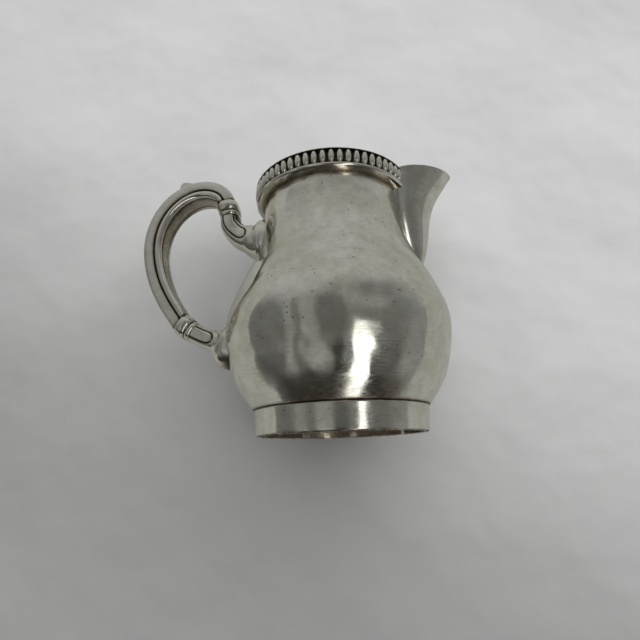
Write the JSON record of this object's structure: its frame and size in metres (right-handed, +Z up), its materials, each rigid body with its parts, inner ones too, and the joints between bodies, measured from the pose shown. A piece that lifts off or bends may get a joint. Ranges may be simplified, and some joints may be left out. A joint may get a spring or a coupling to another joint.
{
  "type": "cream jug",
  "caption": "Small pear-bodied silver cream jug on a plain foot ring, with a lobed rim, a beak spout and a looped side handle between collared sockets",
  "frame": {"origin": "Centre of the bottom of the whole jug's box, on the surface that the jug stands on. The round body's own axis is 10.5 mm towards the spout.", "axes": "+Z up, +X from the handle towards the spout, +Y across the jug."},
  "size_m": [0.099, 0.0658, 0.0841],
  "materials": {
    "satin_silver": "worn satin silver with fine scratches, shallow dents and a faint yellow tarnish",
    "polished_silver": "worn polished silver, dark in the grooves",
    "tarnished_silver": "polished lobes with dark tarnish in the recesses"
  },
  "bodies": {
    "root": {"body": "satin_silver", "foot_ring": "satin_silver", "rim_wire": "polished_silver", "rim_border": "tarnished_silver", "rim_fillet": "polished_silver", "spout": "satin_silver", "handle_grip": "polished_silver", "thumb_rest": "polished_silver", "upper_collar_bead": "polished_silver", "upper_collar_ring": "polished_silver", "lower_collar_bead": "polished_silver", "lower_collar_ring": "polished_silver", "upper_socket": "polished_silver", "lower_socket": "polished_silver"}
  },
  "joints": []
}
